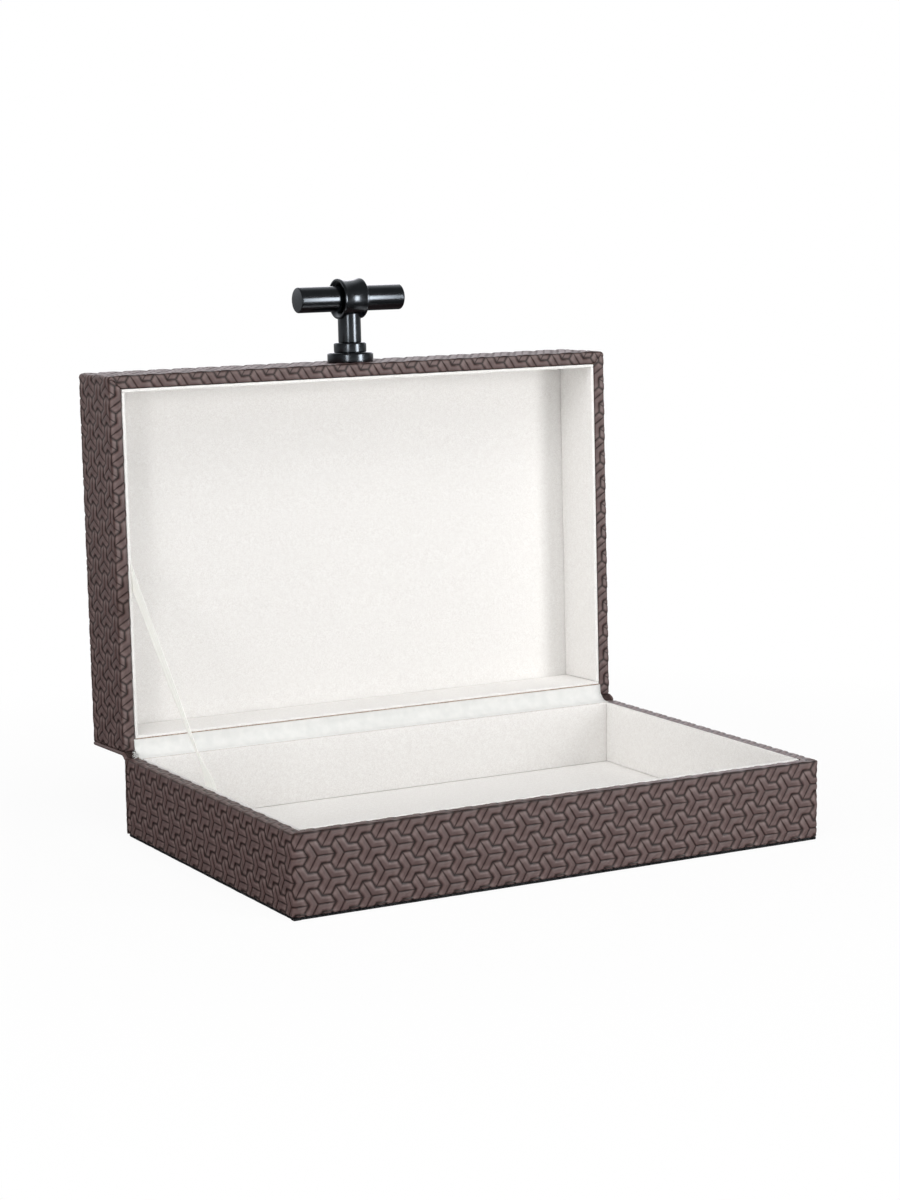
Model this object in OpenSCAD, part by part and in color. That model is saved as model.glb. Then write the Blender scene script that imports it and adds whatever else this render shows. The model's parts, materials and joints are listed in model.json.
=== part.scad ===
// Display box with a hinged lid, shown standing open against its ribbon stay.
// Boards covered in leatherette outside and in flocked card inside, with a T-bar pull on the lid.
// Millimetres. The origin is the centre of the underside, +Z is up, +Y is the hinge side.

/* [Case] */
// Outer width of the box, left to right
box_w = 260; // [200:1:340]
// Outer depth of the box, front to back
box_d = 170; // [130:1:230]
// Height of the base, from its underside to its rim
base_h = 36; // [28:0.5:70]
// Height of the lid, from its rim to its top
lid_h = 35.5; // [28:0.5:70]
// Radius of the upright corners
corner_r = 2; // [1.7:0.1:4]

/* [Walls] */
// Thickness of the four boards of each wall
wall_t = 4.4; // [3:0.1:7]
// Thickness of the floor board of the base
floor_t = 4; // [3:0.1:7]
// Thickness of the top board of the lid
top_t = 4; // [3:0.1:7]
// Thickness of the leatherette
leather_t = 1; // [0.6:0.1:1.6]
// How far the leatherette turns in below each rim
turn_in = 10; // [6:0.5:14]
// Thickness of the flocked card lining
lining_t = 1.4; // [0.8:0.1:2.5]
// Thickness of the felt under the base
felt_t = 1.2; // [0.8:0.1:2.5]
// How far the felt stays back from the outer faces
felt_inset = 0.6; // [0.2:0.1:3]

/* [Hinge] */
// How far the lid stands open, in degrees
open_angle = 91.5; // [80:0.5:100]
// Gap between the two rims when the lid is shut
rim_gap = 1; // [0.8:0.1:2]
// Distance of the hinge line behind the back of the box
hinge_out = 1.2; // [0.4:0.1:2]
// Height of the spine left unglued on each side of the hinge line
spine_free = 3; // [2:0.5:6]
// How far each spine leaf stays back from the ends of the box
spine_inset = 0.4; // [0:0.1:3]
// Thickness of the hinge cloth
cloth_t = 0.4; // [0.3:0.05:0.6]
// Height of the cloth glued inside each back wall
cloth_leaf = 12; // [8:0.5:16]
// Clearance for glue between each free fold and the lid
glue_gap = 0.05; // [0.03:0.01:0.1]

/* [Ribbon stay] */
// Distance from the hinge line to where the ribbon passes each rim
ribbon_reach = 80; // [60:1:100]
// Depth of each glued end of the ribbon below the rim
ribbon_drop = 10; // [6:0.5:16]
// Width of the ribbon
ribbon_w = 10; // [6:0.5:14]
// Thickness of the ribbon
ribbon_t = 0.4; // [0.3:0.05:0.6]

/* [Pull handle] */
// Diameter of the cross bar
bar_d = 12; // [9:0.5:16]
// Length of the cross bar
bar_l = 54; // [40:1:80]
// Chamfer at the ends of the cross bar
bar_chamfer = 0.8; // [0.2:0.1:1.5]
// Height of the middle of the cross bar above the lid
bar_reach = 29.5; // [28.5:0.5:44]
// Diameter of the ring's two rims round the cross bar
ring_d = 18.9; // [18:0.1:24]
// Diameter of the ring's waist
ring_waist_d = 17.1; // [16.2:0.1:18]
// Width of the ring along the cross bar
ring_w = 12.4; // [10:0.1:16]
// Width of the plain edge of each of the ring's rims
ring_edge_w = 1; // [0.5:0.1:2]
// Depth of the dish in each face of the ring
ring_dish = 1.6; // [0.5:0.1:2.5]
// Diameter of the post
post_d = 10.8; // [8:0.1:12]
// Diameter of the collar at the foot of the post
collar_d = 15.3; // [13:0.1:18]
// Height of the collar
collar_h = 4.6; // [3:0.1:6]
// Diameter of the rose, the disc against the lid
rose_d = 21.6; // [19:0.1:28]
// Height of the rose
rose_h = 4.5; // [3:0.1:6]
// Chamfer round the collar and the rose
step_chamfer = 0.7; // [0.2:0.1:1]

/* [Screws] */
// Diameter of the machine screw and of the stud
screw_d = 4; // [3:0.5:5]
// Diameter of the screw's pan head
head_d = 7.6; // [7.2:0.1:8.4]
// Height of the screw's pan head
head_h = 1.4; // [1:0.1:1.6]
// Outer diameter of the washer
washer_d = 11; // [9.5:0.5:13]
// Thickness of the washer
washer_t = 0.8; // [0.5:0.1:1.2]
// Length of thread that the screw holds in the post
thread_grip = 5; // [3:0.5:5.5]
// Solid metal left in the post between the screw and the stud
thread_gap = 1.85; // [0.5:0.05:3]
// Length of the stud inside the cross bar
stud_grip = 5; // [3:0.5:6]
// Clearance between a screw and a drilled hole, at the radius
drill_gap = 0.2; // [0.1:0.05:0.4]
// Clearance between the cross bar and the ring, at the radius
bar_gap = 0.04; // [0.02:0.01:0.08]

/* [Hidden] */
$fn = 96;

// Colours
leather_colour = "#6b5a58";
lining_colour = "#ece9e6";
cloth_colour = "#f4f3f1";
ribbon_colour = "#efeee6";
board_colour = "#b99f7c";
felt_colour = "#1c1c1e";
metal_colour = "#24272a";
steel_colour = "#9a9da0";

// Side planes, from the outside in, as distances from the middle
side_x = box_w / 2;
board_x = side_x - leather_t;
board_r = corner_r - leather_t;
wall_x = board_x - wall_t;
turned_x = wall_x - leather_t;
lined_x = turned_x - lining_t;

// Front and back planes
front_y = -box_d / 2;
back_y = box_d / 2;
board_front_y = front_y + leather_t;
wall_front_y = board_front_y + wall_t;
turned_front_y = wall_front_y + leather_t;
lined_front_y = turned_front_y + lining_t;
board_back_y = back_y - leather_t;
wall_back_y = board_back_y - wall_t;
cloth_back_y = wall_back_y - cloth_t;
lined_back_y = cloth_back_y - lining_t;

// Levels of the base
floor_z = felt_t + floor_t;
lined_floor_z = floor_z + lining_t;

// Levels of the lid, while it is shut
lid_rim_z = base_h + rim_gap;
lid_top_z = lid_rim_z + lid_h;
lid_skin_z = lid_top_z - leather_t;
lid_board_z = lid_skin_z - top_t;
lid_lined_z = lid_board_z - lining_t;

// Hinge line
hinge_y = back_y + hinge_out;
hinge_z = base_h + rim_gap / 2;

// Place of the pull, in the middle of the lid's front
pull_z = lid_rim_z + lid_h / 2;
screw_bore_r = screw_d / 2 + drill_gap;
ring_bore_r = bar_d / 2 + bar_gap;
screw_tip = collar_h + rose_h + thread_grip;
stud_foot = screw_tip + thread_gap;
wall_in = leather_t + wall_t;
sink = head_h + washer_t;

// A box given by its lowest and highest corners
module block(low, high) {
  translate(low) cube(high - low);
}

// Turns what is drawn shut to where the open lid stands
module opened() {
  translate([0, hinge_y, hinge_z])
    rotate([-open_angle, 0, 0])
      translate([0, -hinge_y, -hinge_z]) children();
}

// Slab with square back corners and rounded front corners
module front_rounded_slab(half_x, low_y, high_y, low_z, high_z, r) {
  block([-half_x, low_y + r, low_z], [half_x, high_y, high_z]);
  block([r - half_x, low_y, low_z], [half_x - r, low_y + r, high_z]);
  for (side = [-1, 1])
    translate([side * (half_x - r), low_y + r, low_z]) cylinder(r = r, h = high_z - low_z);
}

// Cover of the front and sides, over the rim and turned in, with the rim at rim_z and the
// far edge at far_z, which lies below the rim on the base and above it on the lid
module wrap(rim_z, far_z) {
  way = sign(far_z - rim_z);
  low_z = min(rim_z, far_z);
  high_z = max(rim_z, far_z);
  under_rim = rim_z + way * leather_t;
  end_of_turn = rim_z + way * turn_in;
  past = 1;
  difference() {
    front_rounded_slab(side_x, front_y, board_back_y, low_z, high_z, corner_r);
    front_rounded_slab(board_x, board_front_y, board_back_y + past,
                       min(under_rim, far_z + way * past), max(under_rim, far_z + way * past), board_r);
    block([-wall_x, wall_front_y, low_z - past], [wall_x, board_back_y + past, high_z + past]);
  }
  difference() {
    block([-wall_x, wall_front_y, min(rim_z, end_of_turn)],
          [wall_x, wall_back_y, max(rim_z, end_of_turn)]);
    block([-turned_x, turned_front_y, low_z - past], [turned_x, wall_back_y + past, high_z + past]);
  }
}

module underside_felt() {
  color(felt_colour)
    block([felt_inset - side_x, front_y + felt_inset, 0],
          [side_x - felt_inset, back_y - felt_inset, felt_t]);
}

// Board over the whole plan, with its front corners rounded as the leatherette needs
module plan_board(low_z, high_z) {
  front_rounded_slab(board_x, board_front_y, board_back_y, low_z, high_z, board_r);
}

// Side board on one side, -1 for left and 1 for right, cut from the same plan
module side_board(side, low_z, high_z) {
  intersection() {
    plan_board(low_z, high_z);
    block([min(side * wall_x, side * side_x), front_y, low_z],
          [max(side * wall_x, side * side_x), back_y, high_z]);
  }
}

// Boards of the base: the floor runs under the walls, the sides run past the front and back
module base_floor_board() {
  color(board_colour) plan_board(felt_t, floor_z);
}

module base_front_board() {
  color(board_colour)
    block([-wall_x, board_front_y, floor_z], [wall_x, wall_front_y, base_h - leather_t]);
}

module base_back_board() {
  color(board_colour)
    block([-wall_x, wall_back_y, floor_z], [wall_x, board_back_y, base_h - cloth_t]);
}

module base_left_board() {
  color(board_colour) side_board(-1, floor_z, base_h - leather_t);
}

module base_right_board() {
  color(board_colour) side_board(1, floor_z, base_h - leather_t);
}

module base_wrap() {
  color(leather_colour) wrap(base_h, felt_t);
}

// The spine covers the back of base and lid, and is left free beside the hinge line
module spine_base_leaf() {
  color(leather_colour)
    block([spine_inset - side_x, board_back_y, felt_t],
          [side_x - spine_inset, back_y, hinge_z - spine_free]);
}

module spine_lid_leaf() {
  color(leather_colour) opened()
    block([spine_inset - side_x, board_back_y, hinge_z + spine_free],
          [side_x - spine_inset, back_y, lid_skin_z]);
}

// Point of the shut lid at y, z, turned to where it stands open, as [y, z]
function open_point(y, z) = [
  hinge_y + (y - hinge_y) * cos(open_angle) + (z - hinge_z) * sin(open_angle),
  hinge_z - (y - hinge_y) * sin(open_angle) + (z - hinge_z) * cos(open_angle)];

// Free strip of the spine: up the base's back, slanting behind the hinge cloth, and out
// under the open lid's back, with its thickness kept through both bends
module spine_fold() {
  base_end = hinge_z - spine_free;
  lid_end = hinge_z + spine_free - glue_gap;
  base_bend = base_h - cloth_t;
  lid_bend = lid_rim_z + cloth_t - glue_gap;
  mitre = leather_t * tan(open_angle / 4);
  color(leather_colour)
    extrude_along_x(side_x - spine_inset, [
      [board_back_y, base_end], [back_y, base_end], [back_y, base_bend - mitre],
      open_point(back_y + glue_gap, lid_bend + mitre), open_point(back_y + glue_gap, lid_end),
      open_point(board_back_y + glue_gap, lid_end), open_point(board_back_y + glue_gap, lid_bend),
      [board_back_y, base_bend]]);
}

// A profile in y and z, drawn out to both sides of the middle
module extrude_along_x(half_x, profile) {
  translate([-half_x, 0, 0]) rotate([90, 0, 90]) linear_extrude(height = 2 * half_x) polygon(profile);
}

// Linings of the base: the floor first, then front and back, then the sides between them
module base_floor_lining() {
  color(lining_colour)
    block([-wall_x, wall_front_y, floor_z], [wall_x, wall_back_y, lined_floor_z]);
}

module base_front_lining() {
  color(lining_colour)
    block([-turned_x, turned_front_y, lined_floor_z], [turned_x, lined_front_y, base_h]);
}

module base_back_lining() {
  color(lining_colour)
    block([-turned_x, lined_back_y, lined_floor_z], [turned_x, cloth_back_y, base_h]);
}

module base_left_lining() {
  color(lining_colour)
    block([-turned_x, lined_front_y, lined_floor_z], [-lined_x, lined_back_y, base_h]);
}

module base_right_lining() {
  color(lining_colour)
    block([lined_x, lined_front_y, lined_floor_z], [turned_x, lined_back_y, base_h]);
}

// The hinge cloth is glued between each back board and its lining, and bridges the rims
module hinge_cloth_base_leaf() {
  color(cloth_colour)
    block([-turned_x, cloth_back_y, base_h - cloth_leaf], [turned_x, wall_back_y, base_h]);
}

module hinge_cloth_lid_leaf() {
  color(cloth_colour) opened()
    block([-turned_x, cloth_back_y, lid_rim_z], [turned_x, wall_back_y, lid_rim_z + cloth_leaf]);
}

// Bridge of the hinge cloth: flat on both back rims, and slanting across the gap between them
module hinge_cloth_fold() {
  lid_face_z = lid_rim_z - glue_gap;
  lid_end_y = wall_back_y + glue_gap;
  color(cloth_colour)
    extrude_along_x(wall_x, [
      [wall_back_y, base_h - cloth_t], [board_back_y, base_h - cloth_t],
      open_point(board_back_y, lid_face_z + cloth_t), open_point(lid_end_y, lid_face_z + cloth_t),
      open_point(lid_end_y, lid_face_z), open_point(board_back_y - cloth_t, lid_face_z),
      [board_back_y - cloth_t, base_h], [wall_back_y, base_h]]);
}

// Ribbon that stops the lid, taut between the left walls and flat against their linings
module ribbon_stay() {
  base_end = [hinge_y - ribbon_reach - ribbon_drop, base_h - ribbon_drop];
  lid_end = open_point(hinge_y - ribbon_reach - ribbon_drop, lid_rim_z + ribbon_drop);
  run = lid_end - base_end;
  color(ribbon_colour)
    translate([-lined_x, base_end[0], base_end[1]])
      rotate([atan2(run[1], run[0]), 0, 0])
        translate([0, 0, -ribbon_w / 2]) cube([ribbon_t, norm(run), ribbon_w]);
}

// Boards of the lid, laid out as those of the base
module lid_top_board() {
  color(board_colour) opened() plan_board(lid_board_z, lid_skin_z);
}

module lid_front_board() {
  color(board_colour) opened() difference() {
    block([-wall_x, board_front_y, lid_rim_z + leather_t], [wall_x, wall_front_y, lid_board_z]);
    pull_hole();
  }
}

module lid_back_board() {
  color(board_colour) opened()
    block([-wall_x, wall_back_y, lid_rim_z + cloth_t], [wall_x, board_back_y, lid_board_z]);
}

module lid_left_board() {
  color(board_colour) opened() side_board(-1, lid_rim_z + leather_t, lid_board_z);
}

module lid_right_board() {
  color(board_colour) opened() side_board(1, lid_rim_z + leather_t, lid_board_z);
}

module lid_wrap() {
  color(leather_colour) opened() difference() {
    wrap(lid_rim_z, lid_skin_z);
    on_front() translate([0, 0, -leather_t]) cylinder(r = screw_bore_r, h = 2 * leather_t);
  }
}

module lid_top_skin() {
  color(leather_colour) opened()
    front_rounded_slab(side_x, front_y, back_y, lid_skin_z, lid_top_z, corner_r);
}

// Linings of the lid, laid out as those of the base
module lid_top_lining() {
  color(lining_colour) opened()
    block([-wall_x, wall_front_y, lid_lined_z], [wall_x, wall_back_y, lid_board_z]);
}

module lid_front_lining() {
  color(lining_colour) opened()
    block([-turned_x, turned_front_y, lid_rim_z], [turned_x, lined_front_y, lid_lined_z]);
}

module lid_back_lining() {
  color(lining_colour) opened()
    block([-turned_x, lined_back_y, lid_rim_z], [turned_x, cloth_back_y, lid_lined_z]);
}

module lid_left_lining() {
  color(lining_colour) opened()
    block([-turned_x, lined_front_y, lid_rim_z], [-lined_x, lined_back_y, lid_lined_z]);
}

module lid_right_lining() {
  color(lining_colour) opened()
    block([lined_x, lined_front_y, lid_rim_z], [turned_x, lined_back_y, lid_lined_z]);
}

// Stands what follows on the shut lid's front, with its axis outwards
module on_front() {
  translate([0, front_y, pull_z]) rotate([90, 0, 0]) children();
}

module on_pull() {
  opened() on_front() children();
}

// Hole through the leatherette and the front board, sunk from inside for washer and head
module pull_hole() {
  past = 1;
  on_front() {
    translate([0, 0, -wall_in]) cylinder(r = screw_bore_r, h = wall_in + past);
    translate([0, 0, -wall_in - past]) cylinder(d = washer_d + 2 * drill_gap, h = sink + past);
  }
}

// Disc with its outer end chamfered, bored for the screw
module drilled_disc(d, h, bore_r) {
  rotate_extrude() polygon([
    [bore_r, 0], [d / 2, 0], [d / 2, h - step_chamfer], [d / 2 - step_chamfer, h], [bore_r, h]]);
}

module handle_rose() {
  color(metal_colour) on_pull() drilled_disc(rose_d, rose_h, screw_bore_r);
}

module handle_collar() {
  color(metal_colour) on_pull()
    translate([0, 0, rose_h]) drilled_disc(collar_d, collar_h, screw_bore_r);
}

// Outer shape of the ring, with its waist hollowed by an arc between the plain edges
module spool() {
  flank = (ring_d - ring_waist_d) / 2;
  half_chord = ring_w / 2 - ring_edge_w;
  arc_r = (half_chord * half_chord + flank * flank) / (2 * flank);
  rotate([0, 90, 0]) rotate_extrude() difference() {
    translate([0, -ring_w / 2]) square([ring_d / 2, ring_w]);
    translate([ring_waist_d / 2 + arc_r, 0]) circle(r = arc_r, $fn = 360);
  }
}

// Post, tapped at both ends, with its top cut to the ring
module handle_post() {
  foot = rose_h + collar_h;
  color(metal_colour) on_pull() difference() {
    translate([0, 0, foot]) cylinder(d = post_d, h = bar_reach - foot);
    translate([0, 0, bar_reach]) spool();
    translate([0, 0, foot]) cylinder(d = screw_d, h = thread_grip);
    translate([0, 0, stud_foot]) cylinder(d = screw_d, h = bar_reach);
  }
}

// Ring round the cross bar, dished at both faces, with a hole for the stud
module handle_ring() {
  dish_r = ring_d / 2 - ring_edge_w;
  color(metal_colour) on_pull() translate([0, 0, bar_reach]) difference() {
    spool();
    rotate([0, 90, 0]) cylinder(r = ring_bore_r, h = 2 * ring_w, center = true);
    for (side = [-1, 1])
      rotate([0, side * 90, 0]) translate([0, 0, ring_w / 2 - ring_dish])
        cylinder(r1 = ring_bore_r, r2 = dish_r, h = ring_dish);
    translate([0, 0, -ring_d]) cylinder(r = screw_bore_r, h = ring_d);
  }
}

module handle_bar() {
  r = bar_d / 2;
  half = bar_l / 2;
  color(metal_colour) on_pull() translate([0, 0, bar_reach]) difference() {
    rotate([0, 90, 0]) rotate_extrude() polygon([
      [0, -half], [r - bar_chamfer, -half], [r, bar_chamfer - half],
      [r, half - bar_chamfer], [r - bar_chamfer, half], [0, half]]);
    translate([0, 0, -bar_d]) cylinder(d = screw_d, h = bar_d - r + stud_grip);
  }
}

// Threaded stud that locks the ring between the post and the cross bar
module handle_stud() {
  color(steel_colour) on_pull() translate([0, 0, stud_foot])
    cylinder(d = screw_d, h = bar_reach - bar_d / 2 + stud_grip - stud_foot);
}

// Pan-head screw, sunk in the front board from inside the lid and screwed into the post
module handle_screw() {
  color(steel_colour) on_pull() translate([0, 0, -wall_in]) {
    cylinder(d = head_d, h = head_h);
    cylinder(d = screw_d, h = wall_in + screw_tip);
  }
}

module handle_washer() {
  color(steel_colour) on_pull() translate([0, 0, head_h - wall_in])
    difference() {
      cylinder(d = washer_d, h = washer_t);
      translate([0, 0, -washer_t]) cylinder(r = screw_bore_r, h = 3 * washer_t);
    }
}

underside_felt();
base_floor_board();
base_front_board();
base_back_board();
base_left_board();
base_right_board();
base_wrap();
spine_base_leaf();
base_floor_lining();
base_front_lining();
base_back_lining();
base_left_lining();
base_right_lining();
hinge_cloth_base_leaf();
spine_fold();
hinge_cloth_fold();
ribbon_stay();
lid_top_board();
lid_front_board();
lid_back_board();
lid_left_board();
lid_right_board();
lid_wrap();
lid_top_skin();
spine_lid_leaf();
lid_top_lining();
lid_front_lining();
lid_back_lining();
lid_left_lining();
lid_right_lining();
hinge_cloth_lid_leaf();
handle_rose();
handle_collar();
handle_post();
handle_ring();
handle_bar();
handle_stud();
handle_screw();
handle_washer();
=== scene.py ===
import json
import math
import bpy
import numpy as np
from mathutils import Matrix, Vector


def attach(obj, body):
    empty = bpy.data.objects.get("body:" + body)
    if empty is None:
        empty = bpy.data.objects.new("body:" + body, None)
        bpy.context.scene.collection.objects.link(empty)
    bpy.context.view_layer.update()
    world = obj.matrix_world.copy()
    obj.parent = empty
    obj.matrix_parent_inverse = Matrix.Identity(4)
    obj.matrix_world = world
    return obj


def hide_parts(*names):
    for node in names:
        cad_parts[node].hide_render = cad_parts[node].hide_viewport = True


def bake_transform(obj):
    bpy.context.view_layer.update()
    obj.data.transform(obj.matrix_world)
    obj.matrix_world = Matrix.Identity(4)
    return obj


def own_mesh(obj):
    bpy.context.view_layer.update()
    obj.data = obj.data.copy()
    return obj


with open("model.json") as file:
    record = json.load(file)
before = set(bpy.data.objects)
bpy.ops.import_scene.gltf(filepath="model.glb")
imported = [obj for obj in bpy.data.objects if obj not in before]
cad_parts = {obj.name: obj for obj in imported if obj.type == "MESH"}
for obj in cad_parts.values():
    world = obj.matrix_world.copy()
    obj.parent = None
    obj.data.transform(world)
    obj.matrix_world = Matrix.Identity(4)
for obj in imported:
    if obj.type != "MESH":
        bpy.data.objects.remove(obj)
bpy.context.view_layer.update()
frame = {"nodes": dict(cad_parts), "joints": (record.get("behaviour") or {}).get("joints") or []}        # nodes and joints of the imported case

mm = 0.001
nodes = frame["nodes"]

# The lid's hinge, and its turn from shut to where it stands open
hinge = frame["joints"][0]
hingeY, hingeZ = hinge["pos_m"][1] / mm, hinge["pos_m"][2] / mm
openTurn = math.radians(hinge["range_deg"][1])


def openLid(points):
    # a point of the shut lid in mm, turned back about the hinge line to the open lid
    y, z = points[..., 1] - hingeY, points[..., 2] - hingeZ
    c, s = math.cos(openTurn), math.sin(openTurn)
    return np.stack([points[..., 0], hingeY + y * c + z * s, hingeZ - y * s + z * c], -1)


def stay(points):
    return points


def nodeBox(name, shut=False):
    # lowest and highest corner of a CAD node in mm, with the lid turned shut if asked
    co = np.array([v.co for v in nodes[name].data.vertices]) / mm
    if shut:
        y, z = co[:, 1] - hingeY, co[:, 2] - hingeZ
        c, s = math.cos(openTurn), math.sin(openTurn)
        co = np.stack([co[:, 0], hingeY + y * c - z * s, hingeZ + y * s + z * c], -1)
    return co.min(0), co.max(0)


def hexColour(code, alpha=1.0):
    # sRGB hex to linear
    part = [int(code[i:i + 2], 16) / 255 for i in (1, 3, 5)]
    return [c / 12.92 if c <= 0.04045 else ((c + 0.055) / 1.055) ** 2.4 for c in part] + [alpha]


print("case: frame loaded")


# Materials

def addNode(tree, kind, inputs=None, stops=(), **settings):
    # one node with its settings and inputs: an input is a value, a node or (node, output), and
    # stops of (place, hex) are the colours of a ramp
    node = tree.nodes.new("ShaderNode" + kind)
    for key, value in settings.items():
        setattr(node, key, value)
    for key, value in (inputs or {}).items():
        if isinstance(value, bpy.types.Node):
            value = (value, 0)
        if isinstance(value, tuple) and isinstance(value[0], bpy.types.Node):
            tree.links.new(value[0].outputs[value[1]], node.inputs[key])
        else:
            node.inputs[key].default_value = value
    for number, (place, code) in enumerate(stops):
        if number == len(node.color_ramp.elements):
            node.color_ramp.elements.new(1.0)
        node.color_ramp.elements[number].position = place
        node.color_ramp.elements[number].color = hexColour(code)
    return node


def newMaterial(name):
    # an empty material, its nodes, and the place on the object for its patterns
    material = bpy.data.materials.new(name)
    material.use_nodes = True
    material.node_tree.nodes.clear()
    return material, material.node_tree, (addNode(material.node_tree, "TexCoord"), "Object")


def mottledMaterial(name, look):
    # one noise of fibres or marks gives both the colour and a fine relief
    material, tree, place = newMaterial(name)
    marks = addNode(tree, "TexNoise", {"Vector": place, "Scale": 1 / (look["marks"] * mm),
                                       "Detail": look["detail"]})
    colour = addNode(tree, "ValToRGB", {"Fac": marks}, look["colours"])
    relief = addNode(tree, "Bump", {"Height": marks, "Distance": look["relief"] * mm,
                                    "Strength": look["strength"]})
    shader = addNode(tree, "BsdfPrincipled", {"Base Color": colour, "Normal": relief, **look["surface"]})
    addNode(tree, "OutputMaterial", {"Surface": shader})
    return material


# dark knitted backing of the leatherette, seen at its cut edges and inside the hinge: dull and woolly,
# and made darker still as painted shade of the hinge's hollow
backingAndShadeLook = {
    "marks": 0.6, "detail": 4.0, "colours": [(0.35, "#231816"), (0.7, "#4c3d3a")],
    "relief": 0.2, "strength": 0.8, "surface": {"Roughness": 0.9},
}
# raw core of the lining's card, cut with a knife: grey-brown and matt
cardCoreLook = {
    "marks": 1.1, "detail": 5.0, "colours": [(0.35, "#8a705c"), (0.7, "#c8b6a4")],
    "relief": 0.1, "strength": 0.6, "surface": {"Roughness": 0.95},
}
# pressed wool felt: black and rough, with stray lighter fibres
feltLook = {
    "marks": 0.8, "detail": 6.0, "colours": [(0.4, "#0f0f10"), (0.75, "#3a3c3e")],
    "relief": 0.4, "strength": 0.9, "surface": {"Roughness": 1.0, "Specular IOR Level": 0.1},
}
# pressed bookbinder's board: grey-brown, dull, with short fibres
boardLook = {
    "marks": 1.5, "detail": 6.0, "colours": [(0.3, "#9c8468"), (0.7, "#c4ad8d")],
    "relief": 0.1, "strength": 0.5, "surface": {"Roughness": 0.95},
}
# zinc-plated steel, turned: bright, with a faint tooling
steelLook = {
    "marks": 0.5, "detail": 3.0, "colours": [(0.3, "#8d9093"), (0.7, "#aeb1b4")],
    "relief": 0.02, "strength": 0.3, "surface": {"Metallic": 1.0, "Roughness": 0.35},
}

leatherLook = {
    "strand": "#624f4d",      # top of a strand
    "tipHighlight": "#877572",        # strand ends, lightened by a painted highlight
    "wall": "#3c2521",        # side of a groove, darkened partly as painted shade
    "groove": "#160604",      # bottom of a groove: dark pigment, deepened as painted shade
    "highlightShare": 0.45,           # how far the painted highlight colour comes through
    "patches": 5.0,           # mm across a paler patch
    "roughness": (0.42, 0.56),
    "strandLines": 2.0,       # fine lines along each strand, coarser than the real ones so that they show
    "grain": 0.35,            # mm between grains
}


def embossedLeatherette():
    # polyurethane-coated cloth, hot-embossed: satin strands with dark grooves, partly pigment and partly
    # painted shade, and a painted highlight near each strand's end
    look = leatherLook
    material, tree, place = newMaterial("embossedLeatherette")
    groove, across, crown = ((addNode(tree, "Attribute", attribute_name=name), "Fac")
                             for name in ("groove", "across", "crown"))
    # the colour darkens with the groove attribute: the grooves' own darker pigment, with painted shade of
    # their hollow on top
    depth = addNode(tree, "ValToRGB", {"Fac": groove}, [
        (0.08, look["strand"]), (0.45, look["wall"]), (0.85, look["groove"])])
    # the crown attribute carries the painted highlight near each strand's end
    tipHighlight = addNode(tree, "Math", {0: crown, 1: look["highlightShare"]}, operation="MULTIPLY")
    colour = addNode(tree, "Mix", {0: tipHighlight, 6: depth, 7: hexColour(look["tipHighlight"])}, data_type="RGBA")
    patches = addNode(tree, "TexNoise", {"Vector": place, "Scale": 1 / (look["patches"] * mm),
                                         "Detail": 3.0})
    patches = addNode(tree, "ValToRGB", {"Fac": patches}, [(0.3, "#dcd6d4"), (0.7, "#ffffff")])
    colour = addNode(tree, "Mix", {0: 0.6, 6: (colour, 2), 7: patches}, data_type="RGBA",
                     blend_type="MULTIPLY")
    turns = addNode(tree, "Math", {0: across, 1: 2 * math.pi * look["strandLines"]},
                    operation="MULTIPLY")
    lines = addNode(tree, "Math", {0: turns}, operation="SINE")
    shade = addNode(tree, "Math", {0: lines, 1: 0.07, 2: 0.97}, operation="MULTIPLY_ADD")
    colour = addNode(tree, "Mix", {0: 1.0, 6: (colour, 2), 7: shade}, data_type="RGBA",
                     blend_type="MULTIPLY")
    grain = addNode(tree, "TexVoronoi", {"Vector": place, "Scale": 1 / (look["grain"] * mm)})
    relief = addNode(tree, "Bump", {"Height": grain, "Distance": 0.02 * mm, "Strength": 0.35})
    relief = addNode(tree, "Bump", {"Height": lines, "Distance": 0.04 * mm, "Strength": 0.5,
                                    "Normal": relief})
    low, high = look["roughness"]
    gloss = addNode(tree, "TexNoise", {"Vector": place, "Scale": 1 / (2.0 * mm), "Detail": 3.0})
    rough = addNode(tree, "MapRange", {"Value": gloss, "To Min": low, "To Max": high})
    shader = addNode(tree, "BsdfPrincipled", {
        "Base Color": (colour, 2), "Normal": relief, "Roughness": rough})
    addNode(tree, "OutputMaterial", {"Surface": shader})
    return material


liningLook = {
    "colour": "#f1f0ee",
    "shade": "#ebe9e7",
    "mottle": 1.6,            # mm across a blotch of the flock
    "fibre": 0.4,             # mm across a tuft, coarser than the real flock so that it shows
}


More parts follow.
